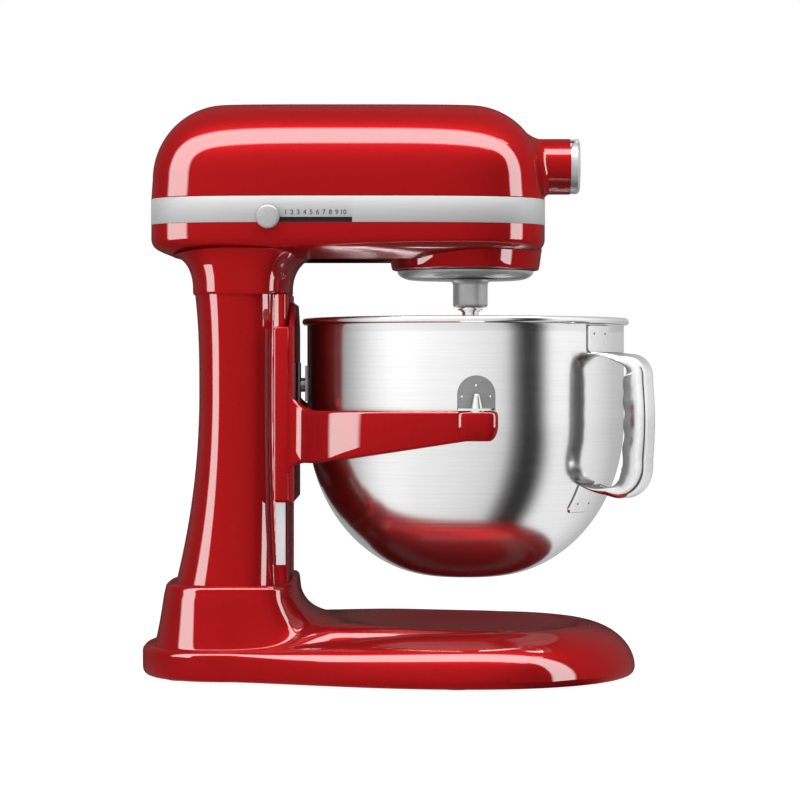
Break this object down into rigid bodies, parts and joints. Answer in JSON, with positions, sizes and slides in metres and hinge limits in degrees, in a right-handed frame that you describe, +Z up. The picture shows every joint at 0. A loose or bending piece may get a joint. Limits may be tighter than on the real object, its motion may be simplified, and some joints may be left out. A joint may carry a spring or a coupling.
{
  "type": "stand mixer",
  "caption": "Bowl-lift stand mixer: red enamelled base, column and head, silver trim band, planetary beater drive, front attachment hub and lift-off steel bowl with handle.",
  "frame": {"origin": "on the worktop, under the middle of the mixer", "axes": "+X to the front with the attachment hub, +Y to the lift lever side, +Z up"},
  "size_m": [0.3702, 0.272, 0.417],
  "materials": {
    "red_enamel": "gloss enamel",
    "trim_silver": "satin",
    "bowl_steel": "brushed",
    "bright_steel": "polished",
    "grey_enamel": "satin enamel",
    "foot_rubber": "matt",
    "black_plastic": "fine grain",
    "bearing_bronze": "turned",
    "gear_steel": "machined",
    "motor_laminations": "stacked sheet",
    "board_green": "laminate"
  },
  "bodies": {
    "frame": {"base": "red_enamel", "feet": "foot_rubber", "base_bolts": "gear_steel", "column": "red_enamel", "guide_rails": "trim_silver", "cord_grommet": "black_plastic", "gearcase": "red_enamel", "head_bolts": "gear_steel", "head_cover": "red_enamel", "trim_band": "trim_silver", "slot_liner": "black_plastic", "speed_board": "board_green", "motor_saddles": "red_enamel", "motor_stator": "motor_laminations", "shaft_bearings": "gear_steel", "ring_gear": "gear_steel", "hub_collar": "red_enamel", "hub_bush": "bearing_bronze", "hub_hinge_block": "trim_silver", "hub_hinge_pin": "gear_steel", "lift_bush": "bearing_bronze"},
    "motor": {"motor_rotor": "motor_laminations", "motor_fan": "black_plastic", "motor_pinion": "gear_steel"},
    "planetary": {"planetary_housing": "grey_enamel", "centre_shaft": "gear_steel", "crown_gear": "gear_steel", "beater_bushes": "bearing_bronze"},
    "beater_drive": {"beater_shaft": "bright_steel", "beater_pin": "bright_steel", "beater_pinion": "gear_steel", "beater_collar": "bright_steel"},
    "hub_drive": {"hub_drive_shaft": "gear_steel", "hub_gear": "gear_steel"},
    "hub_lid": {"hub_cover": "trim_silver"},
    "hub_screw": {"hub_knob": "black_plastic", "hub_knob_screw": "gear_steel"},
    "speed_control": {"speed_knob": "trim_silver", "speed_slide": "black_plastic"},
    "bowl_carrier": {"bowl_support": "red_enamel", "bowl_pins": "bright_steel", "latch_spring": "bright_steel", "lift_yoke": "gear_steel"},
    "lever": {"lift_shaft": "gear_steel", "lift_crank": "gear_steel", "lift_lever": "trim_silver", "lift_knob": "black_plastic"},
    "mixing_bowl": {"bowl": "bowl_steel", "bowl_brackets": "bowl_steel", "bowl_rear_bracket": "bowl_steel", "bowl_handle": "bowl_steel"}
  },
  "joints": [
    {"name": "planetary_spin", "type": "hinge", "parent": "frame", "child": "planetary", "pos_m": [0.048, 0, 0.29], "axis": [0, 0, 1], "continuous": true},
    {"name": "beater_spin", "type": "hinge", "parent": "planetary", "child": "beater_drive", "pos_m": [0.05093, -0.02785, 0.26], "axis": [0, 0, 1], "continuous": true},
    {"name": "motor_spin", "type": "hinge", "parent": "frame", "child": "motor", "pos_m": [-0.104, 0, 0.3645], "axis": [1, 0, 0], "continuous": true},
    {"name": "hub_spin", "type": "hinge", "parent": "frame", "child": "hub_drive", "pos_m": [0.09, 0, 0.372], "axis": [1, 0, 0], "continuous": true},
    {"name": "hub_lid_hinge", "type": "hinge", "parent": "frame", "child": "hub_lid", "pos_m": [0.1293, 0, 0.3898], "axis": [0, -1, 0], "range_deg": [0, 110]},
    {"name": "hub_screw_turn", "type": "hinge", "parent": "frame", "child": "hub_screw", "pos_m": [0.1161, 0.02, 0.372], "axis": [0, 1, 0], "range_deg": [0, 360]},
    {"name": "speed_slide", "type": "slide", "parent": "frame", "child": "speed_control", "axis": [1, 0, 0], "range_m": [0, 0.054]},
    {"name": "bowl_lift", "type": "slide", "parent": "frame", "child": "bowl_carrier", "axis": [0, 0, 1], "range_m": [-0.04, 0]},
    {"name": "lift_lever_turn", "type": "hinge", "parent": "frame", "child": "lever", "pos_m": [-0.1, 0.02, 0.16], "axis": [0, -1, 0], "range_deg": [0, 90.1]},
    {"name": "bowl_lift_off", "type": "slide", "parent": "bowl_carrier", "child": "mixing_bowl", "axis": [0, 0, 1], "range_m": [0, 0.014]}
  ],
  "couplings": [
    {"joint": "beater_spin", "follows": "planetary_spin", "ratio": -2.75},
    {"joint": "motor_spin", "follows": "planetary_spin", "ratio": -4},
    {"joint": "hub_spin", "follows": "planetary_spin", "ratio": 2},
    {"joint": "lift_lever_turn", "follows": "bowl_lift", "rad_per_m": -39.27}
  ]
}
